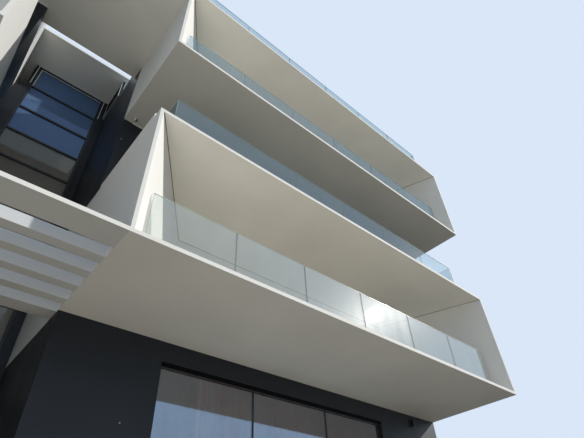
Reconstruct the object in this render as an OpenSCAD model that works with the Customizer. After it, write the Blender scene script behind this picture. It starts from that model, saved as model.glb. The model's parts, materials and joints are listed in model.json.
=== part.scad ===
// Apartment block: two wings of stacked terraces beside a recessed bay and its light well.
// The wings carry splayed, box-shaped balconies that alternate with open terraces.
// Millimetres, +Z up, front towards -Y, origin at the centre of the base.

/* [Overall] */
// Width of one wing along the front
wing_w = 12080; // [11000:10:13500]
// Width of the recessed bay between the wings
bay_w = 2930; // [2700:10:3400]
// Depth from the front slab edges to the back
depth = 13000; // [11500:50:15000]
// Height of the right wing's roof above the ground
height = 15662; // [15450:1:16100]

/* [Storeys] */
// Clear height of the ground storey
ground_clear = 2630; // [2600:10:3000]
// Clear height of the storey under the terraces
first_clear = 3050; // [2750:10:3300]
// Clear height of the first terrace storey
second_clear = 2980; // [2700:10:3200]
// Clear height of the middle terrace storey
third_clear = 2679; // [2600:1:3050]

/* [Slabs] */
// Thickness of every floor slab
floor_t = 220; // [180:5:260]
// Thickness of the slab edge that shows at the front
nosing_t = 80; // [60:5:120]
// Depth of that thin slab edge
nosing_d = 300; // [250:5:320]
// Thickness of the slab on the ground
ground_t = 200; // [150:5:300]

/* [Walls] */
// Thickness of the outside walls
wall_t = 250; // [200:5:300]
// Front edge to the dark walls behind the open terraces
terrace_d = 2960; // [2800:5:3250]
// Front edge to the back walls of the box balconies
box_d = 3420; // [3350:5:3650]
// Front edge to the glazing of the bay
bay_d = 6230; // [5600:10:6800]

/* [Box balconies] */
// Thickness of the flat outer cheeks
cheek_t = 70; // [50:5:100]
// Thickness of the splayed inner panels
panel_t = 90; // [70:5:120]
// Sideways run of the splayed panel nearest the bay
splay_inner = 2340; // [1800:10:2600]
// Sideways run of the splayed panel at the outer end
splay_outer = 1310; // [900:10:1600]

/* [Front windows] */
// Bay side of a wing to its front window opening
window_x = 2260; // [2100:10:2600]
// Width of a front window opening
window_w = 7050; // [6500:10:7600]
// Height of a front window opening
window_h = 2560; // [2300:10:2590]

/* [Back and side windows] */
// Width of a back or side window
back_window_w = 2200; // [1800:10:2600]
// Height of a back or side window
back_window_h = 1350; // [1100:10:1500]
// Middle to middle of the back windows
back_pitch = 4950; // [4600:10:5000]
// Sill height above the floor
sill_h = 900; // [700:10:1000]

/* [Glass] */
// Thickness of the window glass
window_glass_t = 24; // [18:1:32]
// Depth of the window glass behind the wall face
window_glass_in = 110; // [90:5:140]
// Thickness of the balustrade glass
rail_glass_t = 17; // [12:1:22]
// Height of the balustrade glass above the slab
rail_h = 1110; // [1000:10:1200]
// Front edge to the balustrade glass of the box balconies and roofs
rail_d = 350; // [330:5:420]
// Front edge to the balustrade glass of the open terraces
rail_open_d = 440; // [400:5:500]
// Longest balustrade pane
pane_w = 1870; // [1700:10:2000]
// Gap between balustrade panes
pane_gap = 14; // [10:1:20]
// Gap from a box balcony's inner splayed panel to its balustrade
rail_gap_in = 55; // [30:5:80]
// Gap from a box balcony's outer splayed panel to its balustrade
rail_gap_out = 350; // [280:10:400]
// Slab end to the side balustrade of an open terrace, at the outer end
rail_outer_in = 600; // [420:10:800]
// Slab end to the side balustrade of an open terrace, beside the bay
rail_bay_in = 480; // [350:10:600]

/* [Bay and roof] */
// Drop of the left wing's roof below the right wing's
roof_drop = 460; // [400:2:700]
// Front edge to the rear edge of the roof over the bay
bay_roof_d = 3470; // [3350:10:3700]
// Width of the bay glazing
bay_glass_w = 2340; // [2000:10:2500]
// Offset of the bay glazing towards the right wing
bay_glass_shift = 80; // [0:5:120]
// Rise of the stair head above the right wing's roof
head_rise = 954; // [800:2:1100]
// Front edge to the front of the stair head's canopy
canopy_d = 4730; // [4500:10:5000]
// Thickness of that canopy
canopy_t = 70; // [50:5:120]
// Front edge to the back of the stair head
head_d = 9500; // [8500:50:10500]
// Thickness of the stair head's left side
head_side_t = 100; // [60:5:120]
// Height of the lintel between the bay glazing and the canopy
head_lintel = 50; // [30:5:100]
// Length of the dark screen beside the stair head
screen_len = 1300; // [1000:10:1400]
// Thickness of that screen
screen_t = 80; // [60:5:100]

/* [Pergola] */
// Solid band along the front of the pergola
pergola_band = 540; // [450:5:600]
// Number of slots
slot_n = 5; // [4:1:5]
// Depth of one slot
slot_d = 330; // [300:5:350]
// Slot to slot spacing
slot_pitch = 544; // [536:2:560]

/* [Hidden] */

// Plan
half_bay = bay_w / 2;
half_w = half_bay + wing_w;
y_front = -depth / 2;
y_back = depth / 2;
y_terrace = y_front + terrace_d;
y_box = y_front + box_d;
y_bay = y_front + bay_d;
y_bay_roof = y_front + bay_roof_d;
y_head = y_front + head_d;
x_glass = bay_glass_shift - bay_glass_w / 2;

// Heights: soffit and top of each slab
z_first = ground_t + ground_clear;
z_first_top = z_first + floor_t;
z_2 = z_first_top + first_clear;
z_3 = z_2 + floor_t + second_clear;
z_4 = z_3 + floor_t + third_clear;
z_top = height;
z_roof = z_top - floor_t;
z_left_roof = z_roof - roof_drop;
z_left_top = z_left_roof + floor_t;
z_canopy = z_top + head_rise;
z_bay_glass = z_canopy - head_lintel;

white = [0.93, 0.92, 0.89];
dark = [0.13, 0.14, 0.15];
grey = [0.66, 0.65, 0.62];
soffit = [0.72, 0.70, 0.64];
pale_glass = [0.62, 0.75, 0.74, 0.4];
window_tint = [0.35, 0.47, 0.56, 0.5];

function slab_z(level) = [z_2, z_3, z_4, z_roof][level - 2];
// Room left under the lower roof for the front window of the left wing's top storey
left_window_h = min(window_h, z_left_roof - z_4 - floor_t - 200);

// Plain rectangular block between two corners
module block(low, high) {
    translate(low) cube(high - low);
}

// Repeats its children on the other side of the bay
module both_wings() {
    children();
    mirror([1, 0, 0]) children();
}

// Floor plate with a notch for the bay and a thin front edge
module terrace_slab(z) {
    difference() {
        block([-half_w, y_front, z], [half_w, y_back, z + floor_t]);
        block([-half_bay, y_front - 1, z - 1], [half_bay, y_bay + wall_t, z + floor_t + 1]);
        nosing_cut(z);
    }
}

// Takes the upper part off a slab's front edge
module nosing_cut(z) {
    block([-half_w - 1, y_front - 1, z + nosing_t], [half_w + 1, y_front + nosing_d, z + floor_t + 1]);
}

// Dark wall on the right side of the light well: it hides the slab edges from the box balcony up
module well_wall(z, top) {
    block([half_bay, y_terrace, z], [half_bay + wall_t, y_bay + wall_t, top]);
}

module ground_slab() {
    color(soffit)
    difference() {
        block([-half_w + wall_t, y_terrace + wall_t, 0], [half_w - wall_t, y_back - wall_t, ground_t]);
        block([-half_bay - wall_t, y_front, -1], [half_bay + wall_t, y_bay + wall_t, ground_t + 1]);
    }
}

module first_floor_slab() {
    color(soffit)
    difference() {
        block([-half_w + wall_t, y_terrace + wall_t, z_first], [half_w - wall_t, y_back - wall_t, z_first_top]);
        block([-half_bay - wall_t, y_front, z_first - 1], [half_bay + wall_t, y_bay + wall_t, z_first_top + 1]);
    }
}

module terrace_slab_2() { color(white) terrace_slab(z_2); }
module terrace_slab_3() {
    color(white) difference() {
        terrace_slab(z_3);
        well_wall(z_3 + nosing_t, z_3 + floor_t + 1);
    }
}
module terrace_slab_4() {
    color(white) difference() {
        terrace_slab(z_4);
        well_wall(z_4 - 1, z_4 + floor_t + 1);
    }
}

module roof_slab_right() {
    color(white) difference() {
        block([half_bay, y_front, z_roof], [half_w, y_back, z_top]);
        nosing_cut(z_roof);
        well_wall(z_roof - 1, z_top + 1);
    }
}

// Lower roof of the left wing, which also covers the front of the bay
module roof_slab_left() {
    color(white) difference() {
        union() {
            block([-half_w, y_front, z_left_roof], [-half_bay, y_back, z_left_top]);
            block([-half_bay, y_front, z_left_roof], [half_bay, y_bay_roof, z_left_top]);
            block([-half_bay, y_bay + wall_t, z_left_roof], [half_bay + wall_t, y_back, z_left_top]);
        }
        nosing_cut(z_left_roof);
    }
}

// Front band and slats that span the bay between the first terrace slabs
module pergola() {
    color(white)
    difference() {
        block([-half_bay, y_front, z_2], [half_bay, y_box, z_2 + floor_t]);
        nosing_cut(z_2);
        for (i = [0 : slot_n - 1])
            translate([-half_bay - 1, y_front + pergola_band + i * slot_pitch, z_2 - 1])
                cube([bay_w + 2, slot_d, floor_t + 2]);
    }
}

// Thin roof of the stair head, which reaches forward over the light well
module canopy() {
    color(white) block([-half_bay - wall_t, y_front + canopy_d, z_canopy],
        [half_bay + wall_t, y_head, z_canopy + canopy_t]);
}

// Front opening of a wing, in the wing to the right of the bay
module front_window_cut(z, h = window_h) {
    translate([half_bay + window_x, y_front, z]) cube([window_w, depth / 2, h]);
}

module lower_wall() {
    difference() {
        union() {
            block([half_bay, y_terrace, 0], [half_w, y_terrace + wall_t, z_2]);
            block([half_bay, y_terrace, 0], [half_bay + wall_t, y_bay + wall_t, z_2]);
        }
        front_window_cut(ground_t);
        front_window_cut(z_first_top);
    }
}

module lower_wall_right() { color(dark) lower_wall(); }
module lower_wall_left() { color(dark) mirror([1, 0, 0]) lower_wall(); }

// Window cut through a side wall, seen from outside
module side_window_cut(z) {
    translate([half_w - wall_t - 1, side_window_y, z]) cube([wall_t + 2, back_window_w, back_window_h]);
}
side_window_y = (y_terrace + y_back - back_window_w) / 2;

module lower_side_walls() {
    color(dark) both_wings() difference() {
        block([half_w - wall_t, y_terrace + wall_t, 0], [half_w, y_back - wall_t, z_2]);
        side_window_cut(ground_t + sill_h);
        side_window_cut(z_first_top + sill_h);
    }
}

// Places its children at each window of a back wall: two in a wing and one behind the bay
module at_back_windows() {
    for (i = [-2 : 2]) translate([i * back_pitch, 0, 0]) children();
}

module back_window_cut(z) {
    at_back_windows() translate([-back_window_w / 2, y_back - wall_t - 1, z])
        cube([back_window_w, wall_t + 2, back_window_h]);
}

module lower_back_wall() {
    color(dark) difference() {
        block([-half_w, y_back - wall_t, 0], [half_w, y_back, z_2]);
        back_window_cut(ground_t + sill_h);
        back_window_cut(z_first_top + sill_h);
    }
}

// Front wall of one wing on a terrace storey
module front_wall(level, y, x_in = half_bay) {
    z = slab_z(level) + floor_t;
    difference() {
        block([x_in, y, z], [half_w, y + wall_t, slab_z(level + 1)]);
        front_window_cut(z);
    }
}

// Side of the light well on a terrace storey, behind that storey's front wall
module well_side(level, y, top) {
    block([half_bay, y, slab_z(level) + floor_t], [half_bay + wall_t, y_bay + wall_t, top]);
}

module front_wall_right_2() {
    color(white) front_wall(2, y_box);
    color(white) well_side(2, y_box, z_3);
}
module front_wall_right_3() { color(dark) front_wall(3, y_terrace, half_bay + wall_t); }
module front_wall_right_4() { color(white) front_wall(4, y_box, half_bay + wall_t); }
module front_wall_left_2() {
    color(dark) mirror([1, 0, 0]) front_wall(2, y_terrace);
    color(dark) mirror([1, 0, 0]) well_side(2, y_terrace, z_3);
}
module front_wall_left_3() {
    color(white) mirror([1, 0, 0]) front_wall(3, y_box);
    color(white) mirror([1, 0, 0]) well_side(3, y_box, z_4);
}
module front_wall_left_4() {
    color(dark) mirror([1, 0, 0]) difference() {
        block([half_bay, y_terrace, z_4 + floor_t], [half_w, y_terrace + wall_t, z_left_roof]);
        front_window_cut(z_4 + floor_t, left_window_h);
    }
    color(dark) mirror([1, 0, 0]) well_side(4, y_terrace, z_left_roof);
}

// Outer side wall of one wing, behind its front wall
module side_wall(level, y, top) {
    z = slab_z(level) + floor_t;
    difference() {
        block([half_w - wall_t, y + wall_t, z], [half_w, y_back - wall_t, top]);
        side_window_cut(z + sill_h);
    }
}

// White beside the box balconies and dark beside the open terraces
module side_walls_white() {
    color(white) side_wall(2, y_box, z_3);
    color(white) mirror([1, 0, 0]) side_wall(3, y_box, z_4);
    color(white) side_wall(4, y_box, z_roof);
}
module side_walls_dark() {
    color(dark) mirror([1, 0, 0]) side_wall(2, y_terrace, z_3);
    color(dark) side_wall(3, y_terrace, z_4);
    color(dark) mirror([1, 0, 0]) side_wall(4, y_terrace, z_left_roof);
}

module back_wall(level, left_top) {
    z = slab_z(level) + floor_t;
    difference() {
        union() {
            block([-half_w, y_back - wall_t, z], [half_bay + wall_t, y_back, left_top]);
            block([half_bay + wall_t, y_back - wall_t, z], [half_w, y_back, slab_z(level + 1)]);
        }
        back_window_cut(z + sill_h);
    }
}

module back_wall_2() { color(white) back_wall(2, z_3); }
module back_wall_3() { color(white) back_wall(3, z_4); }
module back_wall_4() { color(white) back_wall(4, z_left_roof); }

// Shape in the air between two slabs, above the thin edge of the lower one
module between_slabs(level) {
    z = slab_z(level);
    difference() {
        translate([0, 0, z + nosing_t]) linear_extrude(slab_z(level + 1) - z - nosing_t) children();
        block([-half_w, y_front + nosing_d, z], [half_w, y_back, z + floor_t]);
    }
}

// Flat outer cheeks of one box balcony
module balcony_cheeks(level, bay_side_d = box_d) {
    between_slabs(level) {
        translate([half_bay, y_front]) square([cheek_t, bay_side_d]);
        translate([half_w - cheek_t, y_front]) square([cheek_t, box_d]);
    }
}

// Splayed panel from the front edge of a cheek to the back wall
module splay_outline(run) {
    polygon([
        [0, 0],
        [run, box_d],
        [run - panel_run(run), box_d],
        [0, box_d * panel_run(run) / run]
    ]);
}
// Width of a splayed panel of that run, measured along the back wall
function panel_run(run) = panel_t * norm([run, box_d]) / box_d;

module balcony_panels(level) {
    between_slabs(level) {
        translate([half_bay + cheek_t, y_front]) splay_outline(splay_inner);
        translate([half_w - cheek_t, y_front]) mirror([1, 0]) splay_outline(splay_outer);
    }
}

module balcony_cheeks_right_2() { color(white) balcony_cheeks(2); }
module balcony_cheeks_right_4() { color(white) balcony_cheeks(4, terrace_d); }
module balcony_cheeks_left_3() { color(white) mirror([1, 0, 0]) balcony_cheeks(3); }
module balcony_panels_right_2() { color(white) balcony_panels(2); }
module balcony_panels_right_4() { color(white) balcony_panels(4); }
module balcony_panels_left_3() { color(white) mirror([1, 0, 0]) balcony_panels(3); }

module well_wall_right() { color(dark) well_wall(z_3 + nosing_t, z_top); }

// Wall behind the bay with one opening from the ground to the canopy.
// Above the lower roof it is only as wide as the stair head.
module bay_wall() {
    color(dark) difference() {
        union() {
            block([-half_bay, y_bay, 0], [half_bay, y_bay + wall_t, z_left_top]);
            block([x_glass - head_side_t, y_bay, z_left_top], [half_bay, y_bay + wall_t, z_canopy]);
        }
        block([x_glass, y_bay - 1, ground_t], [x_glass + bay_glass_w, y_bay + wall_t + 1, z_bay_glass]);
    }
}

module bay_glazing() {
    color(window_tint) block([x_glass, y_bay + window_glass_in, ground_t],
        [x_glass + bay_glass_w, y_bay + window_glass_in + window_glass_t, z_bay_glass]);
}

// Walls above the roofs: a screen wall on the left of the light well, the stair head itself,
// and the step between the two roofs behind it
module stair_head() {
    color(grey) {
        block([-half_bay - wall_t, y_bay_roof, z_left_top], [-half_bay, y_head, z_canopy]);
        block([x_glass - head_side_t, y_bay + wall_t, z_left_top], [x_glass, y_head, z_canopy]);
        block([-half_bay, y_head - wall_t, z_left_top], [half_bay, y_head, z_canopy]);
        block([half_bay, y_bay + wall_t, z_left_top], [half_bay + wall_t, y_back, z_roof]);
        block([half_bay, y_bay, z_top], [half_bay + wall_t, y_head, z_canopy]);
    }
}

// Dark screen beside the light well, between the right wing's roof and the canopy
module roof_screen() {
    color(dark) block([half_bay - screen_t / 2, y_bay - screen_len, z_top],
        [half_bay + screen_t / 2, y_bay, z_canopy]);
}

// A run of glass panes along X from 0 to the given length
module pane_run(length) {
    count = ceil((length + pane_gap) / (pane_w + pane_gap));
    pane = (length - (count - 1) * pane_gap) / count;
    for (i = [0 : count - 1])
        translate([i * (pane + pane_gap), 0, 0]) cube([pane, rail_glass_t, rail_h]);
}

// Balustrade between the splayed panels of a box balcony
module box_rail(level) {
    x_in = half_bay + cheek_t + rail_gap_in + (rail_d + rail_glass_t) * splay_inner / box_d;
    x_out = half_w - cheek_t - rail_gap_out - (rail_d + rail_glass_t) * splay_outer / box_d;
    translate([x_in, y_front + rail_d, slab_z(level) + floor_t]) pane_run(x_out - x_in);
}

// Balustrade round three sides of an open terrace, back to the wall
module open_rail(z) {
    x_in = half_bay + rail_bay_in;
    x_out = half_w - rail_outer_in;
    y_side = y_front + rail_open_d + rail_glass_t + pane_gap;
    translate([x_in, y_front + rail_open_d, z]) pane_run(x_out - x_in);
    for (x = [x_in + rail_glass_t, x_out])
        translate([x, y_side, z]) rotate(90) pane_run(y_terrace - pane_gap - y_side);
}

module rails_2() {
    color(pale_glass) box_rail(2);
    color(pale_glass) mirror([1, 0, 0]) open_rail(z_2 + floor_t);
}
module rails_3() {
    color(pale_glass) open_rail(z_3 + floor_t);
    color(pale_glass) mirror([1, 0, 0]) box_rail(3);
}
module rails_4() {
    color(pale_glass) box_rail(4);
    color(pale_glass) mirror([1, 0, 0]) open_rail(z_4 + floor_t);
}
// Balustrade round each roof, the right one with a return along the light well
module roof_rails() {
    x_in = half_bay + rail_bay_in;
    x_out = half_w - rail_outer_in;
    y_side = y_front + rail_d + rail_glass_t + pane_gap;
    color(pale_glass) {
        for (y = [y_front + rail_d, y_back - rail_d - rail_glass_t]) {
            translate([x_in, y, z_top]) pane_run(x_out - x_in);
            translate([-x_out, y, z_left_top]) pane_run(x_out + half_bay - rail_bay_in);
        }
        translate([x_out, y_side, z_top]) rotate(90) pane_run(-2 * y_side);
        translate([-x_out + rail_glass_t, y_side, z_left_top]) rotate(90) pane_run(-2 * y_side);
        translate([x_in + rail_glass_t, y_side, z_top]) rotate(90) pane_run(y_bay - y_side);
        translate([x_in + rail_glass_t, y_head, z_top]) rotate(90) pane_run(-y_side - y_head);
        translate([-half_bay, y_bay_roof - rail_d, z_left_top]) pane_run(2 * half_bay - rail_bay_in);
    }
}

// Window glass of one wing's front opening
module front_glass(y, z, h = window_h) {
    translate([half_bay + window_x, y + window_glass_in, z]) cube([window_w, window_glass_t, h]);
}

// Window glass of the back and of both sides on one storey
module other_glass(z) {
    at_back_windows() translate([-back_window_w / 2, y_back - window_glass_in - window_glass_t, z])
        cube([back_window_w, window_glass_t, back_window_h]);
    both_wings() translate([half_w - window_glass_in - window_glass_t, side_window_y, z])
        cube([window_glass_t, back_window_w, back_window_h]);
}

module window_glass_0() {
    color(window_tint) both_wings() front_glass(y_terrace, ground_t);
    color(window_tint) other_glass(ground_t + sill_h);
}
module window_glass_1() {
    color(window_tint) both_wings() front_glass(y_terrace, z_first_top);
    color(window_tint) other_glass(z_first_top + sill_h);
}
// Glass of one terrace storey, with the depth of each wing's front wall
module storey_glass(level, y_right, y_left, left_h = window_h) {
    z = slab_z(level) + floor_t;
    color(window_tint) front_glass(y_right, z);
    color(window_tint) mirror([1, 0, 0]) front_glass(y_left, z, left_h);
    color(window_tint) other_glass(z + sill_h);
}
module window_glass_2() { storey_glass(2, y_box, y_terrace); }
module window_glass_3() { storey_glass(3, y_terrace, y_box); }
module window_glass_4() { storey_glass(4, y_box, y_terrace, left_window_h); }

ground_slab();
first_floor_slab();
terrace_slab_2();
terrace_slab_3();
terrace_slab_4();
roof_slab_right();
roof_slab_left();
pergola();
canopy();
lower_wall_right();
lower_wall_left();
lower_side_walls();
lower_back_wall();
front_wall_right_2();
front_wall_right_3();
front_wall_right_4();
front_wall_left_2();
front_wall_left_3();
front_wall_left_4();
side_walls_white();
side_walls_dark();
back_wall_2();
back_wall_3();
back_wall_4();
balcony_cheeks_right_2();
balcony_cheeks_right_4();
balcony_cheeks_left_3();
balcony_panels_right_2();
balcony_panels_right_4();
balcony_panels_left_3();
well_wall_right();
bay_wall();
bay_glazing();
stair_head();
roof_screen();
rails_2();
rails_3();
rails_4();
roof_rails();
window_glass_0();
window_glass_1();
window_glass_2();
window_glass_3();
window_glass_4();
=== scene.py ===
"""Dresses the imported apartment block: finishes, window frames, curtains, balustrade trims and small fittings.

Metres, Z up, front towards -Y, the same frame as the CAD part. Places come from the CAD nodes where they can.
"""

import json
import math

import bmesh
import bpy
from mathutils import Matrix, Vector


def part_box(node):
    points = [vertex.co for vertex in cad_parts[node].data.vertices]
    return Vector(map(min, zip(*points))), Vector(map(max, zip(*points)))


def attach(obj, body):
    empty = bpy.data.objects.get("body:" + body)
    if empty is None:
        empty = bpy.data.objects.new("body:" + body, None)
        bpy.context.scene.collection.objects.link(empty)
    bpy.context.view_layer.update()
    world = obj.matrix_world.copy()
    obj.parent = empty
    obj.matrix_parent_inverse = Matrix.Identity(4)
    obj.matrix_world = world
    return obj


BODY = "root"
STOREYS = range(5)

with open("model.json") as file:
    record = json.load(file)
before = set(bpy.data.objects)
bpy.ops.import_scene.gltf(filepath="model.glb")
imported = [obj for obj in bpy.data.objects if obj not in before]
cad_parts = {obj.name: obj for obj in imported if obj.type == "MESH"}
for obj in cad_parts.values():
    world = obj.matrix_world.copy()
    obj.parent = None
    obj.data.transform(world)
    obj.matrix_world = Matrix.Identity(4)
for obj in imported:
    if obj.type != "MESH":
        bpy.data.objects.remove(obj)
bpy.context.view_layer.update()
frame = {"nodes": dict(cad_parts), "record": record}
SLOT_OF = {p["node"]: p["material_slot"] for p in frame["record"]["subparts"]}


# Sizes read from the CAD nodes

def low(node):
    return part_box(node)[0]


def high(node):
    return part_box(node)[1]


def solids(node):
    """Boxes (low, high) round each loose solid of a CAD node, sorted by place."""
    bm = bmesh.new()
    bm.from_mesh(frame["nodes"][node].data)
    bmesh.ops.remove_doubles(bm, verts=bm.verts, dist=0.0005)
    left, found = set(bm.verts), []
    while left:
        stack = [left.pop()]
        island = list(stack)
        while stack:
            for edge in stack.pop().link_edges:
                for vert in edge.verts:
                    if vert in left:
                        left.discard(vert)
                        stack.append(vert)
                        island.append(vert)
        xs, ys, zs = ([v.co[i] for v in island] for i in range(3))
        found.append((Vector((min(xs), min(ys), min(zs))), Vector((max(xs), max(ys), max(zs)))))
    bm.free()
    return sorted(found, key=lambda b: (round(b[0].x, 3), round(b[0].y, 3), round(b[0].z, 3)))


HALF_BAY = high("pergola").x
HALF_W = high("terrace_slab_2").x
Y_FRONT = low("terrace_slab_2").y
Y_BACK = high("terrace_slab_2").y
Y_WALL = low("lower_wall_right").y  # face of the dark front walls
Y_WELL = low("bay_wall").y  # face of the wall round the bay's glazing
Z_A, Z_B, Z_C = (low("terrace_slab_%d" % n).z for n in (2, 3, 4))  # undersides of the terrace slabs
Z_ROOF = high("roof_slab_right").z
Z_TOP_BAR = Z_ROOF - 0.151  # highest bar of the bay's glazing
BAR_PITCH = 1.127  # from one bar of the bay's glazing to the next


# Node materials

def empty_tree(owner):
    """Turns on the nodes of a material or world, takes out what is there and returns the tree."""
    owner.use_nodes = True
    owner.node_tree.nodes.clear()
    return owner.node_tree


def feed(tree, node, inputs):
    """Sets inputs of a node. Each is a number, a vector, a colour or the output of another node."""
    for key, value in inputs.items():
        socket = node.inputs[key]
        if isinstance(value, bpy.types.NodeSocket):
            tree.links.new(value, socket)
        elif socket.type == "RGBA":
            socket.default_value = (*value, 1)
        else:
            socket.default_value = value


def add(tree, kind, inputs=None, **props):
    """A new node with its properties and inputs set."""
    node = tree.nodes.new(kind)
    for key, value in props.items():
        setattr(node, key, value)
    feed(tree, node, inputs or {})
    return node


def math_node(tree, operation, a, b=0.0, clamp=False):
    return add(tree, "ShaderNodeMath", {0: a, 1: b}, operation=operation, use_clamp=clamp).outputs[0]


def mix_colour(tree, factor, a, b, blend="MIX"):
    return add(tree, "ShaderNodeMix", {0: factor, 6: a, 7: b}, data_type="RGBA", blend_type=blend).outputs[2]


def noise(tree, vector, scale, detail=3.0, rough=0.5):
    return add(tree, "ShaderNodeTexNoise", {"Vector": vector, "Scale": scale, "Detail": detail,
                                            "Roughness": rough}).outputs["Fac"]


def spread(tree, value, lo, hi, to_lo=0.0, to_hi=1.0):
    """Maps a value from one range to another, clamped."""
    return add(tree, "ShaderNodeMapRange", {"Value": value, "From Min": lo, "From Max": hi,
                                            "To Min": to_lo, "To Max": to_hi}).outputs[0]


def stretched(tree, vector, scale):
    return add(tree, "ShaderNodeMapping", {"Vector": vector, "Scale": scale}).outputs[0]


def parts(tree, vector):
    """The X, Y and Z parts of a vector."""
    return add(tree, "ShaderNodeSeparateXYZ", {"Vector": vector}).outputs


def facing(tree):
    """The three parts of the surface normal."""
    return parts(tree, add(tree, "ShaderNodeNewGeometry").outputs["Normal"])


def grey(tree, level):
    return add(tree, "ShaderNodeCombineColor", {"Red": level, "Green": level, "Blue": level}).outputs[0]


def shade(colour, factor):
    return tuple(factor * c for c in colour)


def start(name):
    """A new material with its tree, a Principled shader, the output and object coordinates."""
    mat = bpy.data.materials.new(name)
    tree = empty_tree(mat)
    shader = add(tree, "ShaderNodeBsdfPrincipled")
    out = add(tree, "ShaderNodeOutputMaterial", {"Surface": shader.outputs[0]})
    place = add(tree, "ShaderNodeTexCoord").outputs["Object"]
    return mat, tree, shader, out, place


def bump(tree, shader, height, strength, distance):
    node = add(tree, "ShaderNodeBump", {"Height": height, "Strength": strength, "Distance": distance})
    feed(tree, shader, {"Normal": node.outputs[0]})


NONE = (0.0, 0.0, 0.0)
WALL = (0.84, 0.83, 0.80)
OPEN_CEILING_PAINTED_SHADE, OPEN_FLOOR = (0.78, 0.76, 0.70), (0.30, 0.29, 0.27)  # under and on an open terrace's slabs: the ceiling painted darker than a box balcony's, painted shade on the same paint; the floor dark so that it throws little light up
BOX_CEILING_PAINTED_LIGHT, BOX_FLOOR = (0.95, 0.93, 0.87), (0.86, 0.79, 0.68)  # and a box balcony's: the ceiling painted brighter and warmer, painted light on the same paint; the floor pale and warm so that it throws much light up
ROOF_TOP = (0.60, 0.59, 0.55)
SLAT_FACE_PAINTED_SHADE, SLAT_UNDER_PAINTED_SHADE = (0.70, 0.72, 0.755), (0.635, 0.63, 0.605)  # of the pergola's slats: painted shade on white render, bluish grey on their faces as under the sky, darker underneath
BAND = 0.1  # the pergola's slats start further back than this; the painted shade on their faces starts at this depth
GROUT = (0.22, 0.21, 0.19)
TILE, TILE_JOINT = 0.6, 0.004
BOARD = 0.145  # width of the upright boards on the dark side faces


def render_paint(name, wall, ceilings=(OPEN_CEILING_PAINTED_SHADE,) * 2, floors=(OPEN_FLOOR,) * 2, behind=None):
    """Masonry paint: walls with faint rain marks, and a painted ceiling under and tiles above each slab.

    Ceilings and floors have a colour for the left wing and one for the right; the ceiling colours carry painted
    shade and painted light. Behind is a depth from which on the walls have another colour, and that colour; the
    pergola uses it for painted shade on its slats.
    """
    mat, tree, shader, _, place = start(name)
    nz = facing(tree)[2]
    top = math_node(tree, "GREATER_THAN", nz, 0.5)
    under = math_node(tree, "LESS_THAN", nz, -0.5)
    cloud = noise(tree, place, 0.55, 4)
    streak = noise(tree, stretched(tree, place, (5.5, 5.5, 0.22)), 1.0, 4, 0.6)
    speck = noise(tree, place, 140, 4, 0.6)
    walls = mix_colour(tree, spread(tree, streak, 0.52, 0.78, 0.0, 0.16), wall, shade(wall, 0.72))
    walls = mix_colour(tree, spread(tree, cloud, 0.35, 0.7, 0.0, 0.35), walls, shade(wall, 0.93))
    across, along, _ = parts(tree, place)
    if behind:
        depth, other = behind
        walls = mix_colour(tree, math_node(tree, "GREATER_THAN", along, depth), walls, other)
    right = math_node(tree, "GREATER_THAN", across, 0.0)
    # Ceiling colour for each wing: painted shade under open terraces and the pergola, painted light in box
    # balconies and under the roofs and canopy
    ceiling = mix_colour(tree, right, *ceilings)
    ceiling = mix_colour(tree, spread(tree, cloud, 0.3, 0.7, 0.0, 0.1), ceiling, NONE)
    floor = mix_colour(tree, right, *floors)
    tiles = add(tree, "ShaderNodeTexBrick", {
        "Vector": place, "Color1": floor, "Color2": mix_colour(tree, 0.08, floor, NONE), "Mortar": GROUT,
        "Scale": 1.0, "Mortar Size": TILE_JOINT, "Brick Width": TILE, "Row Height": TILE,
        "Bias": -0.2}, offset=0.0)
    colour = mix_colour(tree, top, mix_colour(tree, under, walls, ceiling), tiles.outputs["Color"])
    colour = mix_colour(tree, 1.0, colour, grey(tree, spread(tree, speck, 0.3, 0.75, 0.97, 1.02)), "MULTIPLY")
    feed(tree, shader, {"Base Color": colour, "Roughness": spread(tree, speck, 0.2, 0.8, 0.62, 0.78),
                        "Specular IOR Level": 0.35})
    grain = math_node(tree, "ADD", math_node(tree, "MULTIPLY", speck, 0.5), noise(tree, place, 24, 3))
    joint = math_node(tree, "MULTIPLY", tiles.outputs["Fac"], math_node(tree, "MULTIPLY", top, -2.0))
    bump(tree, shader, math_node(tree, "ADD", grain, joint), 0.22, 0.002)
    return mat


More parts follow.
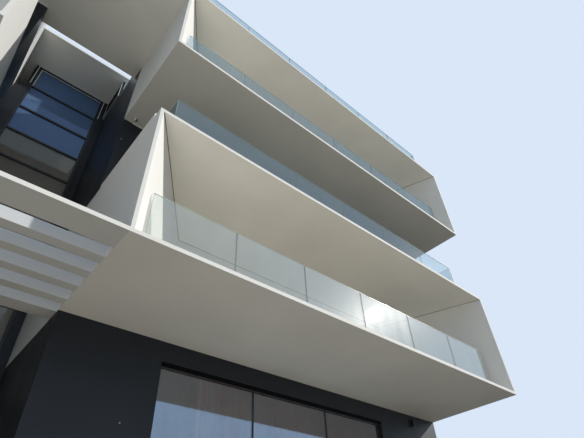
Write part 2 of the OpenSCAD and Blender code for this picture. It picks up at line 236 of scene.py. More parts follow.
def charcoal(name, base):
    """Satin charcoal cladding: smooth fronts, and narrow upright boards on the faces that look sideways."""
    mat, tree, shader, _, place = start(name)
    side = math_node(tree, "GREATER_THAN", math_node(tree, "ABSOLUTE", facing(tree)[0]), 0.5)
    phase = math_node(tree, "FRACT", math_node(tree, "MULTIPLY", parts(tree, place)[1], 1 / BOARD))
    edge = math_node(tree, "ABSOLUTE", math_node(tree, "SUBTRACT", phase, 0.5))
    groove = math_node(tree, "MULTIPLY", spread(tree, edge, 0.42, 0.47), side)
    # A lighter strip beside each groove: painted highlight along the boards' edges
    lip_highlight = math_node(tree, "MULTIPLY", spread(tree, edge, 0.38, 0.42), side)
    lip_highlight = math_node(tree, "SUBTRACT", lip_highlight, groove, True)
    cloud = noise(tree, place, 0.8, 4)
    grime = noise(tree, stretched(tree, place, (3.0, 3.0, 0.3)), 1.0, 5, 0.65)
    speck = noise(tree, place, 90, 3)
    colour = mix_colour(tree, spread(tree, cloud, 0.3, 0.7), base, shade(base, 1.25))
    colour = mix_colour(tree, spread(tree, grime, 0.55, 0.8, 0.0, 0.3), colour, shade(base, 2.0))
    # Painted highlight along the boards' edges
    colour = mix_colour(tree, math_node(tree, "MULTIPLY", lip_highlight, 0.5), colour, shade(base, 6.0))
    colour = mix_colour(tree, groove, colour, shade(base, 0.25))
    feed(tree, shader, {"Base Color": colour, "Roughness": spread(tree, grime, 0.3, 0.75, 0.36, 0.5),
                        "Specular IOR Level": 0.32})
    height = math_node(tree, "SUBTRACT", math_node(tree, "MULTIPLY", speck, 0.06), groove)
    bump(tree, shader, height, 0.35, 0.004)
    return mat


def thin_glass(name, tint, mirror, shares, film_of_dust_and_painted_reflection, cover, roughness=0.04, haze=0.7, lower=None):
    """Thin glass: part clear, part a tinted mirror that grows where it is seen edge on, under a diffuse film.

    Shares are the mirror's part seen square on and edge on. Cover is the film's part and haze its roughness.
    The film is dust on the balustrades, painted reflection on the bay glazing and a faint orange film on the
    windows. Lower is a height below which the panes have another mirror and film, and the colours of those.
    """
    mat, tree, shader, out, place = start(name)
    smear = noise(tree, stretched(tree, place, (2.2, 2.2, 0.5)), 1.0, 4, 0.6)
    dust_and_reflection_noise = noise(tree, place, 34, 4, 0.7)
    gloss = mix_colour(tree, spread(tree, smear, 0.4, 0.75), mirror, shade(mirror, 0.9))
    if lower:
        height, low_mirror, low_painted_reflection = lower
        below = math_node(tree, "LESS_THAN", parts(tree, place)[2], height)
        gloss = mix_colour(tree, below, gloss, low_mirror)
        film_of_dust_and_painted_reflection = mix_colour(tree, below, film_of_dust_and_painted_reflection, low_painted_reflection)
    feed(tree, shader, {"Base Color": gloss, "Metallic": 1.0, "Roughness": roughness})
    bump(tree, shader, smear, 0.03, 0.01)
    clear = add(tree, "ShaderNodeBsdfTransparent", {"Color": tint})
    rim = add(tree, "ShaderNodeLayerWeight", {"Blend": 0.35}).outputs["Facing"]
    glass = add(tree, "ShaderNodeMixShader", {0: spread(tree, rim, 0.2, 0.65, *shares), 1: clear.outputs[0],
                                              2: shader.outputs[0]})
    # The film: dust on the balustrades, painted reflection on the bay glazing
    dust_and_reflection_shader = add(tree, "ShaderNodeBsdfPrincipled", {"Base Color": film_of_dust_and_painted_reflection, "Roughness": haze})
    part = math_node(tree, "ADD", spread(tree, dust_and_reflection_noise, 0.45, 0.8, cover, cover + 0.05),
                     spread(tree, smear, 0.5, 0.8, 0.0, 0.04))
    with_dust_and_reflection = add(tree, "ShaderNodeMixShader", {0: part, 1: glass.outputs[0], 2: dust_and_reflection_shader.outputs[0]})
    feed(tree, out, {"Surface": with_dust_and_reflection.outputs[0]})
    return mat


def metal(name, base, roughness, metallic=0.0, shine=0.5):
    """Coated or anodised metal, or a hard seal, with faint clouds and a fine orange-peel surface."""
    mat, tree, shader, _, place = start(name)
    cloud = noise(tree, place, 2.5, 4)
    peel = noise(tree, place, 260, 2)
    colour = mix_colour(tree, spread(tree, cloud, 0.3, 0.7), base, shade(base, 0.82))
    feed(tree, shader, {"Base Color": colour,
                        "Roughness": spread(tree, cloud, 0.3, 0.75, roughness, roughness + 0.12),
                        "Metallic": metallic, "Specular IOR Level": shine})
    bump(tree, shader, peel, 0.06, 0.001)
    return mat


def cloth(name, base):
    """Loosely woven curtain cloth."""
    mat, tree, shader, _, place = start(name)
    wave = {"Vector": place, "Scale": 190.0, "Distortion": 1.2, "Detail": 2.0}
    threads = [add(tree, "ShaderNodeTexWave", wave, bands_direction=d).outputs["Fac"] for d in ("X", "Z")]
    weave = math_node(tree, "MULTIPLY", *threads)
    slub = noise(tree, stretched(tree, place, (30, 30, 1.5)), 1.0, 4)
    colour = mix_colour(tree, spread(tree, slub, 0.3, 0.7), base, shade(base, 0.74))
    colour = mix_colour(tree, spread(tree, weave, 0.0, 1.0, 0.25, 0.0), colour, shade(base, 0.5))
    feed(tree, shader, {"Base Color": colour, "Roughness": 0.9, "Sheen Weight": 0.3})
    bump(tree, shader, weave, 0.2, 0.001)
    return mat


def concrete(name, base):
    """Bare concrete with soft clouds and pores."""
    mat, tree, shader, _, place = start(name)
    cloud = noise(tree, place, 1.3, 6, 0.6)
    pores = noise(tree, place, 70, 5, 0.7)
    colour = mix_colour(tree, spread(tree, cloud, 0.3, 0.7), base, shade(base, 0.78))
    feed(tree, shader, {"Base Color": colour, "Roughness": 0.85})
    bump(tree, shader, pores, 0.3, 0.003)
    return mat


WHITE = render_paint("white_render", WALL)
# Each slab's ceilings take painted shade over an open terrace and painted light over a box balcony; the roofs
# and canopy take painted light
SLAB_2 = render_paint("white_render_slab_2", WALL, (OPEN_CEILING_PAINTED_SHADE, OPEN_CEILING_PAINTED_SHADE), (OPEN_FLOOR, BOX_FLOOR))
SLAB_3 = render_paint("white_render_slab_3", WALL, (OPEN_CEILING_PAINTED_SHADE, BOX_CEILING_PAINTED_LIGHT), (BOX_FLOOR, OPEN_FLOOR))
SLAB_4 = render_paint("white_render_slab_4", WALL, (BOX_CEILING_PAINTED_LIGHT, OPEN_CEILING_PAINTED_SHADE), (OPEN_FLOOR, BOX_FLOOR))
ROOF = render_paint("white_render_roof", WALL, (BOX_CEILING_PAINTED_LIGHT, BOX_CEILING_PAINTED_LIGHT), (ROOF_TOP, ROOF_TOP))
# Pergola: its front band keeps the wall colour, its slats behind it take painted shade
PERGOLA = render_paint("white_render_pergola", WALL, (SLAT_UNDER_PAINTED_SHADE, SLAT_UNDER_PAINTED_SHADE),
                       behind=(Y_FRONT + BAND, SLAT_FACE_PAINTED_SHADE))
GREY = render_paint("grey_render", (0.70, 0.69, 0.66))
DARK = charcoal("charcoal_cladding", (0.0115, 0.0145, 0.0195))
FLOOR = concrete("floor_concrete", (0.34, 0.33, 0.31))
DUST = (0.62, 0.63, 0.61)
RAIL_GLASS = thin_glass("rail_glass", tint=(0.975, 0.995, 0.98), mirror=(0.74, 0.80, 0.82),
                        shares=(0.095, 0.54), film_of_dust_and_painted_reflection=DUST, cover=0.045, roughness=0.009, haze=0.27)
HIGH_GLASS = thin_glass("rail_glass_high", tint=(0.80, 0.87, 0.90), mirror=(0.46, 0.59, 0.70),
                        shares=(0.05, 0.20), film_of_dust_and_painted_reflection=DUST, cover=0.03, roughness=0.009, haze=0.27)
WINDOW_GLASS = thin_glass("window_glass", tint=(0.98, 0.76, 0.54), mirror=(0.47, 0.72, 0.98),
                          shares=(0.36, 0.62), film_of_dust_and_painted_reflection=(0.62, 0.20, 0.03), cover=0.06)
# Bay glazing: its film is painted reflection, blue sky over the upper panes and beige below the third bar from
# the top, where the mirror is grey
BAY_GLASS = thin_glass("bay_glass", tint=(0.30, 0.36, 0.45), mirror=(0.045, 0.068, 0.12),
                       shares=(0.75, 0.95), film_of_dust_and_painted_reflection=(0.30, 0.50, 0.92), cover=0.33,
                       lower=(Z_TOP_BAR - 2 * BAR_PITCH, (0.11, 0.11, 0.10), (0.55, 0.52, 0.46)))
BLACK = metal("black_aluminium", (0.012, 0.013, 0.015), 0.38)
SILVER = metal("anodised_aluminium", (0.55, 0.55, 0.54), 0.34, 0.85)
PALE_METAL = metal("pale_powder_coat", (0.62, 0.61, 0.58), 0.42)
WHITE_METAL = metal("white_powder_coat", WALL, 0.4)
# Near-black and dull: painted shade at the front windows' heads
HEAD_PAINTED_SHADE = metal("shadow_gap", (0.004, 0.004, 0.004), 0.9, 0.0, 0.1)
# Olive grey: painted shade for the shadow gaps round the box balconies' ceilings
PAINTED_SHADE_LINE = metal("painted_shade_line", (0.16, 0.15, 0.13), 0.8, 0.0, 0.2)
LENS = metal("smoked_lens", (0.02, 0.021, 0.023), 0.08, 0.0, 1.0)
EDGE = metal("polished_glass_edge", (0.55, 0.66, 0.62), 0.2)
JOINT = metal("glass_joint", (0.42, 0.46, 0.44), 0.6, 0.0, 0.2)
CURTAIN = cloth("curtain_cloth", (0.38, 0.27, 0.18))
HEM = cloth("curtain_hem", (0.92, 0.90, 0.84))

OF_SLOT = {"white_render": WHITE, "grey_render": GREY, "charcoal_cladding": DARK, "floor_concrete": FLOOR,
           "rail_glass": RAIL_GLASS, "window_glass": WINDOW_GLASS}

OF_NODE = {"bay_glazing": BAY_GLASS, "rails_3": HIGH_GLASS, "rails_4": HIGH_GLASS, "roof_rails": HIGH_GLASS,
           "terrace_slab_2": SLAB_2, "terrace_slab_3": SLAB_3, "terrace_slab_4": SLAB_4, "pergola": PERGOLA,
           "roof_slab_right": ROOF, "roof_slab_left": ROOF, "canopy": ROOF}

for name, obj in frame["nodes"].items():
    obj.data.materials.clear()
    obj.data.materials.append(OF_NODE.get(name) or OF_SLOT[SLOT_OF[name]])


# Building the pieces

TURN_STEPS = 32


def finish_piece(bm, name, material, bevel=0.0):
    """Makes a mesh into a piece of the building, with its edges rounded where a bevel is given."""
    mesh = bpy.data.meshes.new(name)
    bm.normal_update()
    bm.to_mesh(mesh)
    bm.free()
    mesh.materials.append(material)
    obj = bpy.data.objects.new(name, mesh)
    bpy.context.scene.collection.objects.link(obj)
    if bevel:
        mod = obj.modifiers.new("edges", "BEVEL")
        mod.width, mod.segments, mod.limit_method = bevel, 2, "ANGLE"
    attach(obj, BODY)
    return obj


def add_box(bm, a, b):
    """A closed box between two corners, in either order."""
    lo = Vector(map(min, a, b))
    hi = Vector(map(max, a, b))
    made = bmesh.ops.create_cube(bm, size=1.0)["verts"]
    bmesh.ops.scale(bm, verts=made, vec=hi - lo)
    bmesh.ops.translate(bm, verts=made, vec=(lo + hi) / 2)


def bars(name, boxes, material, bevel=0.003):
    """One piece made of many bars, each given by two corners."""
    bm = bmesh.new()
    for a, b in boxes:
        add_box(bm, a, b)
    return finish_piece(bm, name, material, bevel)


def run(lo, hi, inset, y0, y1, z0, z1):
    """A bar along X over the length of a box, set in from both of its ends."""
    return (lo.x + inset, y0, z0), (hi.x - inset, y1, z1)


def add_lathe(bm, profile, at, axis):
    """A turned form: profile is (radius, distance along axis) from the fixing outwards."""
    turn = Vector((0, 0, 1)).rotation_difference(Vector(axis)).to_matrix().to_4x4()
    place = Matrix.Translation(at) @ turn
    rings = []
    for radius, reach in profile:
        angles = [2 * math.pi * i / TURN_STEPS for i in range(TURN_STEPS if radius else 1)]
        rings.append([bm.verts.new(place @ Vector((radius * math.cos(a), radius * math.sin(a), reach)))
                      for a in angles])
    for one, two in zip(rings, rings[1:]):
        for i in range(TURN_STEPS):
            corners = [one[i % len(one)], one[(i + 1) % len(one)], two[(i + 1) % len(two)], two[i % len(two)]]
            bm.faces.new(list(dict.fromkeys(corners))).smooth = True


def turned(name, profile, spots, axis, material):
    """One piece made of the same turned form at many spots."""
    bm = bmesh.new()
    for at in spots:
        add_lathe(bm, profile, at, axis)
    return finish_piece(bm, name, material)


# Window frames

FRAME_W, FRAME_D = 0.05, 0.07  # width and depth of a frame's bars
HEAD_W, SILL_W = 0.02, 0.06  # widths of the front frames' top and bottom bars
MULLION_HALF, MULLION_IN = 0.022, 0.012  # half its width, and how far its faces lie behind the frame's
FRONT_SPLITS = (0.352, 0.690)  # where a right front window's panes meet, in parts of its width
FRONT_MIN = 5  # the sheets of glass wider than this are the front windows
REVEAL = 0.122  # from a wall's face back to the middle of its front glass
TRACK = ((-0.09, -0.036, 0.022), (-0.075, -0.069, 0.034))  # base and rail: front, back, height
HEAD_LINE = (-0.005, 0.01, 0.05)  # dark line over the glass, painted shade for the recess at the window head: front and back from the wall's face, height
HEAD_LINE_PAST = 0.01  # and how far it runs past the glass
HEAD_SHADOW = 0.006  # height of the dark line of painted shade inside the reveal
GRIP = ((-0.075, -0.072, 0.86), (-0.05, -0.052, 1.26))  # corners, from the mullion, the glass and the sill
GRIP_FOOT = ((-0.07, -0.06), (-0.055, -0.028))
GRIP_FEET_Z, GRIP_FOOT_H = (0.9, 1.2), 0.02
CLEAR = 0.002  # keeps trims and curtain tracks off the faces next to them
SILL_T = 0.025


def frame_bars(u0, u1, z0, z1, glass, splits, head=FRAME_W, foot=FRAME_W):
    """Bars of a window frame: u along the wall, then across it, in line with the glass, then up."""
    d0, d1 = glass - FRAME_D / 2, glass + FRAME_D / 2
    out = [((u0, d0, z0), (u0 + FRAME_W, d1, z1)), ((u1 - FRAME_W, d0, z0), (u1, d1, z1)),
           ((u0, d0, z1 - head), (u1, d1, z1)), ((u0, d0, z0), (u1, d1, z0 + foot))]
    for u in splits:
        out.append(((u - MULLION_HALF, d0 + MULLION_IN, z0 + foot),
                    (u + MULLION_HALF, d1 - MULLION_IN, z1 - head)))
    return out


def swap_xy(boxes):
    return [((a[1], a[0], a[2]), (b[1], b[0], b[2])) for a, b in boxes]


def front_panes(level):
    """The two large sheets of a storey that face the front, the left one first."""
    return [(lo, hi) for lo, hi in solids("window_glass_%d" % level) if hi.x - lo.x > FRONT_MIN]


for level in STOREYS:
    boxes, tracks, heads, pulls = [], [], [], []
    for lo, hi in front_panes(level):
        mid = (lo.y + hi.y) / 2
        face = mid - REVEAL
        shares = FRONT_SPLITS if lo.x > 0 else [1 - s for s in FRONT_SPLITS]
        splits = [lo.x + s * (hi.x - lo.x) for s in shares]
        boxes += frame_bars(lo.x, hi.x, lo.z, hi.z, mid, splits, HEAD_W, SILL_W)
        tracks += [run(lo, hi, FRAME_W, mid + y0, mid + y1, lo.z, lo.z + top) for y0, y1, top in TRACK]
        y0, y1, height = HEAD_LINE
        # Painted shade: a near-black strip on the wall's face over the glass, and another under the head inside
        # the reveal
        heads += [run(lo, hi, -HEAD_LINE_PAST, face + y0, face + y1, hi.z, hi.z + height),
                  run(lo, hi, 0, face + CLEAR, mid - FRAME_D / 2, hi.z - HEAD_SHADOW, hi.z)]
        origin = Vector((splits[0], mid, lo.z))
        a, b = GRIP_FOOT
        pulls.append([origin + Vector(corner) for corner in GRIP])
        pulls += [[origin + Vector((*a, z)), origin + Vector((*b, z + GRIP_FOOT_H))] for z in GRIP_FEET_Z]
    bars("front_frames_%d" % level, boxes, BLACK)
    bars("front_tracks_%d" % level, tracks, SILVER, 0.001)
    bars("front_head_painted_shade_%d" % level, heads, HEAD_PAINTED_SHADE, 0.001)
    bars("door_pulls_%d" % level, pulls, SILVER, 0.004)

    boxes, sills = [], []
    for lo, hi in solids("window_glass_%d" % level):
        if hi.x - lo.x > FRONT_MIN:
            continue
        if hi.x - lo.x > hi.y - lo.y:
            mid = (lo.y + hi.y) / 2
            boxes += frame_bars(lo.x, hi.x, lo.z, hi.z, mid, [(lo.x + hi.x) / 2])
            sills.append(run(lo, hi, CLEAR, mid + FRAME_D / 2, Y_BACK - CLEAR, lo.z, lo.z + SILL_T))
        else:
            mid = (lo.x + hi.x) / 2
            out = 1 if mid > 0 else -1
            boxes += swap_xy(frame_bars(lo.y, hi.y, lo.z, hi.z, mid, [(lo.y + hi.y) / 2]))
            sills.append(((mid + out * FRAME_D / 2, lo.y + CLEAR, lo.z),
                          (out * (HALF_W - CLEAR), hi.y - CLEAR, lo.z + SILL_T)))
    bars("back_side_frames_%d" % level, boxes, BLACK)
    bars("back_side_sills_%d" % level, sills, PALE_METAL)


# Curtains behind the front windows

CLOTH_STEP, CLOTH_ROWS = 0.014, 10
HEM_W = 0.10  # the flat leading edge
HEM_FADE = 0.1  # over which the folds grow beside it
FOLD_TOP, FOLD_GROWTH = 0.045, 0.015  # depth of the folds at the track, and what they gain on the way down
BARE, TUCKED = 1.11, 0.08  # glass left bare beside the bay, and the curtain's gap at its other end
BEHIND_GLASS, ABOVE_GLASS, OFF_SILL = 0.19, 0.05, 0.03
TRACK_HALF, TRACK_H, TRACK_INSET = 0.02, 0.025, 0.06


def curtain(name, x0, x1, y, z0, z1, seed, hem_right):
    """A gathered curtain: a wavy sheet with folds of uneven depth and a flat, pale leading edge."""
    steps = int((x1 - x0) / CLOTH_STEP)
    bm = bmesh.new()
    line = []
    for i in range(steps + 1):
        t = i / steps * (x1 - x0)
        fold = math.sin(t * 41.0 + seed + 1.9 * math.sin(t * 2.3 + seed))
        swell = 0.6 + 0.4 * math.sin(t * 3.1 + 2.0 * seed)
        from_hem = x1 - x0 - t if hem_right else t
        swell *= min(1.0, max(0.0, (from_hem - HEM_W) / HEM_FADE))
        line.append((x0 + t + 0.008 * math.sin(t * 83 + seed), fold * swell))
    grid = []
    for row in range(CLOTH_ROWS + 1):
        drop = row / CLOTH_ROWS
        depth = FOLD_TOP + FOLD_GROWTH * drop
        z = z1 + (z0 - z1) * drop
        grid.append([bm.verts.new((x, y + depth * wave + 0.006 * math.sin(9 * x + 4 * drop), z))
                     for x, wave in line])
    for one, two in zip(grid, grid[1:]):
        for i in range(steps):
            bm.faces.new((one[i], one[i + 1], two[i + 1], two[i])).smooth = True
    halfway = grid[CLOTH_ROWS // 2]
    length = sum((b.co - a.co).length for a, b in zip(halfway, halfway[1:]))
    obj = finish_piece(bm, name, CURTAIN)
    obj.data.materials.append(HEM)
    for face in obj.data.polygons:
        if (x1 - face.center.x if hem_right else face.center.x - x0) < HEM_W:
            face.material_index = 1
    return obj, length


def ceiling(side, level):
    """Height of the ceiling over a storey's front windows."""
    if level < 2:
        return low(("first_floor_slab", "terrace_slab_2")[level]).z
    return high("front_wall_%s_%d" % (side, level)).z


for level in STOREYS:
    for side, (lo, hi) in zip(("left", "right"), front_panes(level)):
        y = hi.y + BEHIND_GLASS
        top = min(hi.z + ABOVE_GLASS, ceiling(side, level) - CLEAR)
        z0, z1 = lo.z + OFF_SILL, top - TRACK_H
        x0, x1 = (lo.x + BARE, hi.x - TUCKED) if side == "right" else (lo.x + TUCKED, hi.x - BARE)
        pole = bars("curtain_track_%s_%d" % (side, level),
                    [run(lo, hi, TRACK_INSET, y - TRACK_HALF, y + TRACK_HALF, z1, top)],
                    PALE_METAL, 0.004)
        made, length = curtain("curtain_%s_%d" % (side, level), x0, x1, y, z0, z1,
                               0.7 * level + (side == "left"), side == "left")


# Balustrade channels, gaskets, polished edges and joints between the panes

CHANNEL_H, CHANNEL_SIDE, CHANNEL_END = 0.085, 0.021, 0.007  # height, and reach past the pane's faces and ends
GASKET_TOP, GASKET_SIDE = 0.092, 0.0084
STRIP_H, STRIP_W, STRIP_FOOT = 0.004, 0.002, 0.09
PROUD = 0.0006  # how far edges and joints stand off the glass
NEXT = 0.03  # panes whose ends are this close meet

for node in ("rails_2", "rails_3", "rails_4", "roof_rails"):
    channels, gaskets, edges, joints = [], [], [], []
    panes = solids(node)
    for lo, hi in panes:
        axis, cross = (0, 1) if hi.x - lo.x > hi.y - lo.y else (1, 0)
        side, end = Vector(), Vector()
        side[cross], end[axis] = 1.0, 1.0
        grow = CHANNEL_SIDE * side + CHANNEL_END * end
        channels.append((lo - grow, Vector((hi.x, hi.y, lo.z + CHANNEL_H)) + grow))
        gaskets.append((Vector((lo.x, lo.y, lo.z + CHANNEL_H)) - GASKET_SIDE * side,
                        Vector((hi.x, hi.y, lo.z + GASKET_TOP)) + GASKET_SIDE * side))
        edges.append((Vector((lo.x, lo.y, hi.z - STRIP_H)) - PROUD * side, hi + PROUD * side))
        for at in (lo[axis], hi[axis] - STRIP_W):
            meets = any(abs(corner[axis] - at) < NEXT and abs(corner[cross] - lo[cross]) < NEXT
                        for pane in panes if pane[0] != lo for corner in pane)
            a, b = Vector((0, 0, lo.z + STRIP_FOOT)), Vector((0, 0, hi.z - STRIP_H))
            a[axis], b[axis] = at, at + STRIP_W
            a[cross], b[cross] = lo[cross] - PROUD, hi[cross] + PROUD
            (joints if meets else edges).append((a, b))
    bars(node + "_channels", channels, SILVER, 0.002)
    bars(node + "_gaskets", gaskets, BLACK, 0.001)
    bars(node + "_edges", edges, EDGE, 0.0)
    bars(node + "_joints", joints, JOINT if node == "rails_2" else EDGE, 0.0)


# Glazing of the bay

BAY_FRONT, BAY_BACK = 0.07, 0.035  # the bars' faces from the middle of the glass
POST_W, BAR_HALF, STILE_HALF = 0.087, 0.034, 0.03
DOOR_TOP, DOOR_HEAD_TOP, DOOR_FOOT = 2.32, 2.42, 0.06
LOWEST_BAR = 2.9
HEAD_TRIM_H, HEAD_TRIM_D = 0.020, 0.034
SIDE_TRIM_D, SIDE_TRIM_OVER = 0.008, 0.004  # depth, and how far the side trims lap over the opening
TRIM_PAST, TRIM_PAST_LEFT = 0.022, 0.026  # how far the trims reach past the opening
INNER_AT, INNER_W, INNER_FRONT, INNER_BACK = 0.088, 0.028, 0.004, 0.03  # of the trims inside the frame
PULL_X = 0.14  # from the middle of the doors
PULL_GRIP, PULL_FOOT = (0.015, -0.055, -0.03), (0.01, -0.04, 0.015)  # half width, front and back
PULL_Z, PULL_FEET_Z, PULL_FOOT_H = (1.0, 1.7), (1.08, 1.6), 0.02

glass_lo, glass_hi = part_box("bay_glazing")
mid_y, mid_x = (glass_lo.y + glass_hi.y) / 2, (glass_lo.x + glass_hi.x) / 2
x0, x1 = glass_lo.x, glass_hi.x
z0, z1 = glass_lo.z, glass_hi.z
front, back = mid_y - BAY_FRONT, mid_y + BAY_BACK
inner = front + MULLION_IN
bar_heights = [Z_TOP_BAR - BAR_PITCH * n for n in range(math.ceil((Z_TOP_BAR - LOWEST_BAR) / BAR_PITCH))]
boxes = [((x0, front, z0), (x0 + POST_W, back, z1)), ((x1 - POST_W, front, z0), (x1, back, z1))]
boxes += [((x0, inner, z - BAR_HALF), (x1, back, z + BAR_HALF)) for z in bar_heights]
boxes += [((x0, inner, DOOR_TOP), (x1, back, DOOR_HEAD_TOP)), ((x0, front, z0), (x1, back, z0 + DOOR_FOOT)),
          ((mid_x - STILE_HALF, inner, z0), (mid_x + STILE_HALF, back, DOOR_TOP))]
bars("bay_frames", boxes, BLACK)

# Pale trims: over the top light and down its sides on the wall's face, and inside its frame
z_head = low("canopy").z
foot = Z_TOP_BAR + BAR_HALF
y_head, y_side = Y_WELL - HEAD_TRIM_D, Y_WELL - SIDE_TRIM_D
left, right, y0, y1, top = x0 + INNER_AT, x1 - INNER_AT, front - INNER_FRONT, front + INNER_BACK, z1 - CLEAR
boxes = [((x0 - TRIM_PAST, y_head, z_head - HEAD_TRIM_H), (x1 + TRIM_PAST, Y_WELL, z_head)),
         ((x0 - TRIM_PAST_LEFT, y_side, foot), (x0 + SIDE_TRIM_OVER, Y_WELL, z_head)),
         ((x1 - SIDE_TRIM_OVER, y_side, foot), (x1 + TRIM_PAST, Y_WELL, z_head)),
         ((left, y0, foot), (left + INNER_W, y1, top)), ((left, y0, z1 - HEAD_TRIM_H), (right, y1, top))]
bars("bay_top_frames", boxes, WHITE_METAL, 0.001)

boxes = []
feet = [(z, z + PULL_FOOT_H) for z in PULL_FEET_Z]
for x in (mid_x - PULL_X, mid_x + PULL_X):
    for (half, y0, y1), spans in ((PULL_GRIP, [PULL_Z]), (PULL_FOOT, feet)):
        boxes += [((x - half, front + y0, a), (x + half, front + y1, b)) for a, b in spans]
bars("entrance_pulls", boxes, SILVER, 0.005)


# Slats and edges on both sides of the roof screen

SLATS, SLAT_HALF, SLAT_OUT = 12, 0.011, 0.012
SLAT_MARGIN, SLAT_INSET = 0.06, 0.04  # from the screen's foot and top, and from its ends
RIM_W, RIM_OUT = 0.022, 0.018

lo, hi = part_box("roof_screen")
boxes = []
for i in range(SLATS):
    z = lo.z + SLAT_MARGIN + (hi.z - lo.z - 2 * SLAT_MARGIN) * i / (SLATS - 1)
    for x in (lo.x - SLAT_OUT, hi.x):
        boxes.append(((x, lo.y + SLAT_INSET, z - SLAT_HALF),
                      (x + SLAT_OUT, hi.y - SLAT_INSET, z + SLAT_HALF)))
bars("roof_screen_slats", boxes, BLACK, 0.002)
boxes = []
for x in (lo.x - RIM_OUT, hi.x):
    boxes += [((x, lo.y, z), (x + RIM_OUT, hi.y, z + RIM_W)) for z in (lo.z, hi.z - RIM_W)]
    boxes += [((x, y, lo.z), (x + RIM_OUT, y + RIM_W, hi.z)) for y in (lo.y, hi.y - RIM_W)]
bars("roof_screen_edges", boxes, WHITE_METAL, 0.002)


# Pale trims where the open terraces' ceilings meet the dark walls

CEILING_TRIM = 0.02

boxes = []
for node in ("front_wall_right_3", "front_wall_left_2", "front_wall_left_4"):
    lo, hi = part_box(node)
    boxes.append(run(lo, hi, 0, lo.y - CEILING_TRIM, lo.y, hi.z - CEILING_TRIM, hi.z))
bars("terrace_ceiling_trims", boxes, WHITE_METAL, 0.001)


# A metal coping along the right roof's edge at the light well: a drip down its side and a cap on top

DRIP, CAP_W, CAP_T, COPING_OUT = 0.035, 0.26, 0.006, 0.012

y0, x0, z1 = low("well_wall_right").y, HALF_BAY - COPING_OUT, Z_ROOF + CAP_T
boxes = [((x0, y0, Z_ROOF - DRIP), (HALF_BAY, Y_WELL, z1)),
         ((x0, y0, Z_ROOF), (HALF_BAY + CAP_W, Y_WELL, z1))]
bars("well_coping", boxes, PALE_METAL, 0.001)


# Dark strips round the ceilings of the box balconies: painted shade standing for the shadow gaps there

GAP_W, GAP_H, GAP_START = 0.014, 0.006, 0.03


def add_strip(bm, p, q, aside, z0, z1):
    """A bar from p to q in plan, as wide as the vector aside, between two heights."""
    corners = [Vector(p), Vector(q), Vector(q) + aside, Vector(p) + aside]
    rings = [[bm.verts.new((c.x, c.y, z)) for c in corners] for z in (z0, z1)]
    bm.faces.new(rings[0])
    bm.faces.new(rings[1])
    for i in range(4):
        j = (i + 1) % 4
        bm.faces.new((rings[0][i], rings[0][j], rings[1][j], rings[1][i]))
    bmesh.ops.recalc_face_normals(bm, faces=bm.faces)


bm = bmesh.new()
for node in [n for n in frame["nodes"] if n.startswith("balcony_panels_")]:
    (lo, hi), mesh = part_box(node), frame["nodes"][node].data
    centre, ends = (lo.x + hi.x) / 2, []
    for face in mesh.polygons:
        n = face.normal
        splayed_inwards = abs(n.x) >= 0.2 and abs(n.y) >= 0.2 and n.x * (centre - face.center.x) >= 0
        top = [mesh.vertices[i].co.xy for i in face.vertices if mesh.vertices[i].co.z > hi.z - 0.001]
        if splayed_inwards and len(top) == 2:
            p, q = sorted(top, key=lambda c: c.y)
            p = p + (q - p).normalized() * GAP_START
            add_strip(bm, p, q, n.xy.normalized() * GAP_W, hi.z - GAP_H, hi.z)
            ends.append(q)
    p, q = sorted(ends, key=lambda c: c.x)
    add_strip(bm, p, q, Vector((0, -GAP_W)), hi.z - GAP_H, hi.z)
finish_piece(bm, "balcony_painted_shade_lines", PAINTED_SHADE_LINE)


# Ceiling lamps, wall studs and wall lamps where the photo shows them, and the same on the other wing

LAMP_X = (HALF_BAY + 0.24, HALF_BAY + 6.0, HALF_W - 0.9)
LAMP_FORWARD, LAMP_DROP = 0.2, 0.052
LAMP_AIM = (0.9, -0.1, -0.3)
LENS_OUT = 0.0225
PLATE = [(0.0, 0.0), (0.064, 0.0), (0.064, 0.006), (0.058, 0.011), (0.020, 0.013), (0.020, 0.022),
         (0.0, 0.022)]
HOOD = [(0.0, -0.036), (0.020, -0.034), (0.034, -0.022), (0.041, 0.0), (0.041, 0.020), (0.036, 0.023),
        (0.0, 0.023)]
GLOBE = [(0.0, 0.0), (0.042, 0.0), (0.042, 0.012), (0.037, 0.026), (0.024, 0.038), (0.0, 0.043)]
STUD = [(0.0, 0.0), (0.018, 0.0), (0.018, 0.005), (0.011, 0.008), (0.009, 0.022), (0.0, 0.024)]
STUD_X, STUD_Z = HALF_BAY + 1.622, Z_A - 1.778
HIGH_STUD = (HALF_BAY + 0.096, Y_WALL, Z_A + 5.268)
WALL_LAMP_X = HALF_BAY + 10.84
# Plate and body of a wall lamp: half width, how far front and back lie before the wall, how far foot and top
# lie below the first terrace slab
WALL_LAMP = ((0.05, 0.012, 0.0, 0.36, 0.12), (0.042, 0.11, 0.012, 0.34, 0.14))

spots = [Vector((side * x, Y_WALL - LAMP_FORWARD, z)) for z, side in ((Z_C, 1), (Z_B, -1)) for x in LAMP_X]
heads = [at - Vector((0, 0, LAMP_DROP)) for at in spots]
aim = Vector(LAMP_AIM).normalized() * LENS_OUT
turned("ceiling_lamp_plates", PLATE, spots, (0, 0, -1), PALE_METAL)
turned("ceiling_lamp_hoods", HOOD, heads, LAMP_AIM, WHITE_METAL)
turned("ceiling_lamp_lenses", GLOBE, [at + aim for at in heads], LAMP_AIM, LENS)

studs = [(STUD_X, Y_WALL, STUD_Z), (-STUD_X, Y_WALL, STUD_Z), HIGH_STUD]
turned("wall_studs", STUD, studs, (0, -1, 0), JOINT)

boxes = []
for x in (WALL_LAMP_X, -WALL_LAMP_X):
    for half, out, back, foot, top in WALL_LAMP:
        boxes.append(((x - half, Y_WALL - out, Z_A - foot), (x + half, Y_WALL - back, Z_A - top)))
bars("wall_lamps", boxes, BLACK, 0.006)


# Floor, light and camera

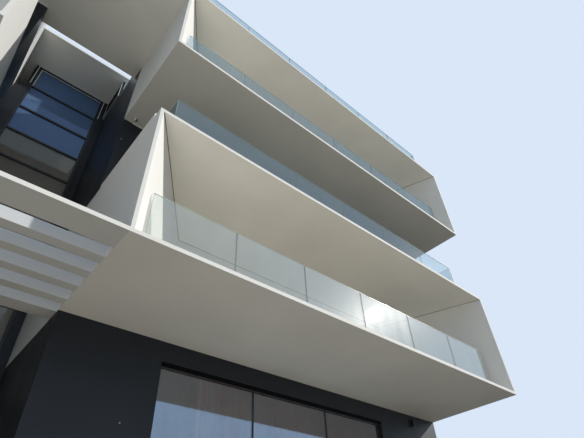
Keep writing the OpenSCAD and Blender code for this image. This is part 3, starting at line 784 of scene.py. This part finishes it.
FLOOR_SIZE = 400
FLOOR_SEEN, FLOOR_THROWN = (0.80, 0.80, 0.79), (0.58, 0.55, 0.49)
FADE_X, FADE_TO = (7.0, 15.0), 0.12  # the light from the floor fades between these places, to this part
SKY_SEEN, SKY_SEEN_POWER = (0.74, 0.85, 1.0), 0.94
SKY_ALL_ROUND, SKY_ABOVE, SKY_FOCUS = (0.25, 0.345, 0.46), (0.42, 0.35, 0.26), 2.0
SUN_POWER, SUN_COLOUR, SUN_WIDTH = 3.0, (1.0, 0.965, 0.90), 1.4
TO_SUN = (0.712, -0.515, 0.478)
FOCAL_PX, PHOTO_W, SENSOR_W = 445.527, 584, 36.0
CAMERA_AXES = ((0.75274, -0.6568, -0.04479), (0.41243, 0.52352, -0.74554), (0.51311, 0.54272, 0.66496))
CAMERA_AT = Vector((HALF_BAY - 1.71431, Y_FRONT - 5.46719, Z_A - 4.55211))


def seen_directly(tree):
    """1 for what the camera, mirrors and clear glass see, and 0 for the light that falls on the building."""
    rays = add(tree, "ShaderNodeLightPath").outputs
    seen = math_node(tree, "MAXIMUM", rays["Is Camera Ray"], rays["Is Glossy Ray"])
    return math_node(tree, "MAXIMUM", seen, rays["Is Transmission Ray"])


def stage_material(name, colour, thrown):
    """Pale where it is seen directly, with a colour of its own for the light that it throws back."""
    mat = bpy.data.materials.new(name)
    tree = empty_tree(mat)
    seen = seen_directly(tree)
    across = parts(tree, add(tree, "ShaderNodeTexCoord").outputs["Object"])[0]
    fade = grey(tree, spread(tree, across, *FADE_X, 1.0, FADE_TO))
    thrown = mix_colour(tree, 1.0, thrown, fade, "MULTIPLY")
    diffuse = add(tree, "ShaderNodeBsdfDiffuse", {"Color": mix_colour(tree, seen, thrown, colour)})
    add(tree, "ShaderNodeOutputMaterial", {"Surface": diffuse.outputs[0]})
    return mat


bpy.ops.mesh.primitive_plane_add(size=FLOOR_SIZE, location=(0, 0, 0))
ground = bpy.context.object
ground.name = "stage_floor"
ground.data.materials.append(stage_material("stage_floor", FLOOR_SEEN, FLOOR_THROWN))

world = bpy.data.worlds.new("studio")
bpy.context.scene.world = world
tree = empty_tree(world)
seen = seen_directly(tree)
way = add(tree, "ShaderNodeTexCoord").outputs["Generated"]
up = add(tree, "ShaderNodeVectorMath", {0: way, 1: (0, 0, 1)}, operation="DOT_PRODUCT").outputs["Value"]
above = math_node(tree, "POWER", math_node(tree, "MAXIMUM", up, 0.0), SKY_FOCUS)
light = mix_colour(tree, 1.0, SKY_ALL_ROUND, mix_colour(tree, above, NONE, SKY_ABOVE), "ADD")
ambient = add(tree, "ShaderNodeBackground", {"Color": light})
shown = add(tree, "ShaderNodeBackground", {"Color": SKY_SEEN, "Strength": SKY_SEEN_POWER})
both = add(tree, "ShaderNodeMixShader", {0: seen, 1: ambient.outputs[0], 2: shown.outputs[0]})
add(tree, "ShaderNodeOutputWorld", {"Surface": both.outputs[0]})

sun = bpy.data.lights.new("key", "SUN")
sun.energy, sun.angle, sun.color = SUN_POWER, math.radians(SUN_WIDTH), SUN_COLOUR
key = bpy.data.objects.new("key", sun)
bpy.context.scene.collection.objects.link(key)
key.rotation_mode = "QUATERNION"
key.rotation_quaternion = Vector(TO_SUN).to_track_quat("Z", "Y")

# The rows of CAMERA_AXES point right, down and forwards. A camera here has Y up and looks along -Z.
camera = bpy.data.cameras.new("camera")
camera.sensor_width = SENSOR_W
camera.lens = FOCAL_PX * SENSOR_W / PHOTO_W
camera.clip_start, camera.clip_end = 0.1, 1000
eye = bpy.data.objects.new("camera", camera)
bpy.context.scene.collection.objects.link(eye)
flip = Matrix(((1, 0, 0), (0, -1, 0), (0, 0, -1)))
place = (flip @ Matrix(CAMERA_AXES)).transposed().to_4x4()
place.translation = CAMERA_AT
eye.matrix_world = place
bpy.context.scene.camera = eye

bpy.context.scene.view_settings.view_transform = "Standard"
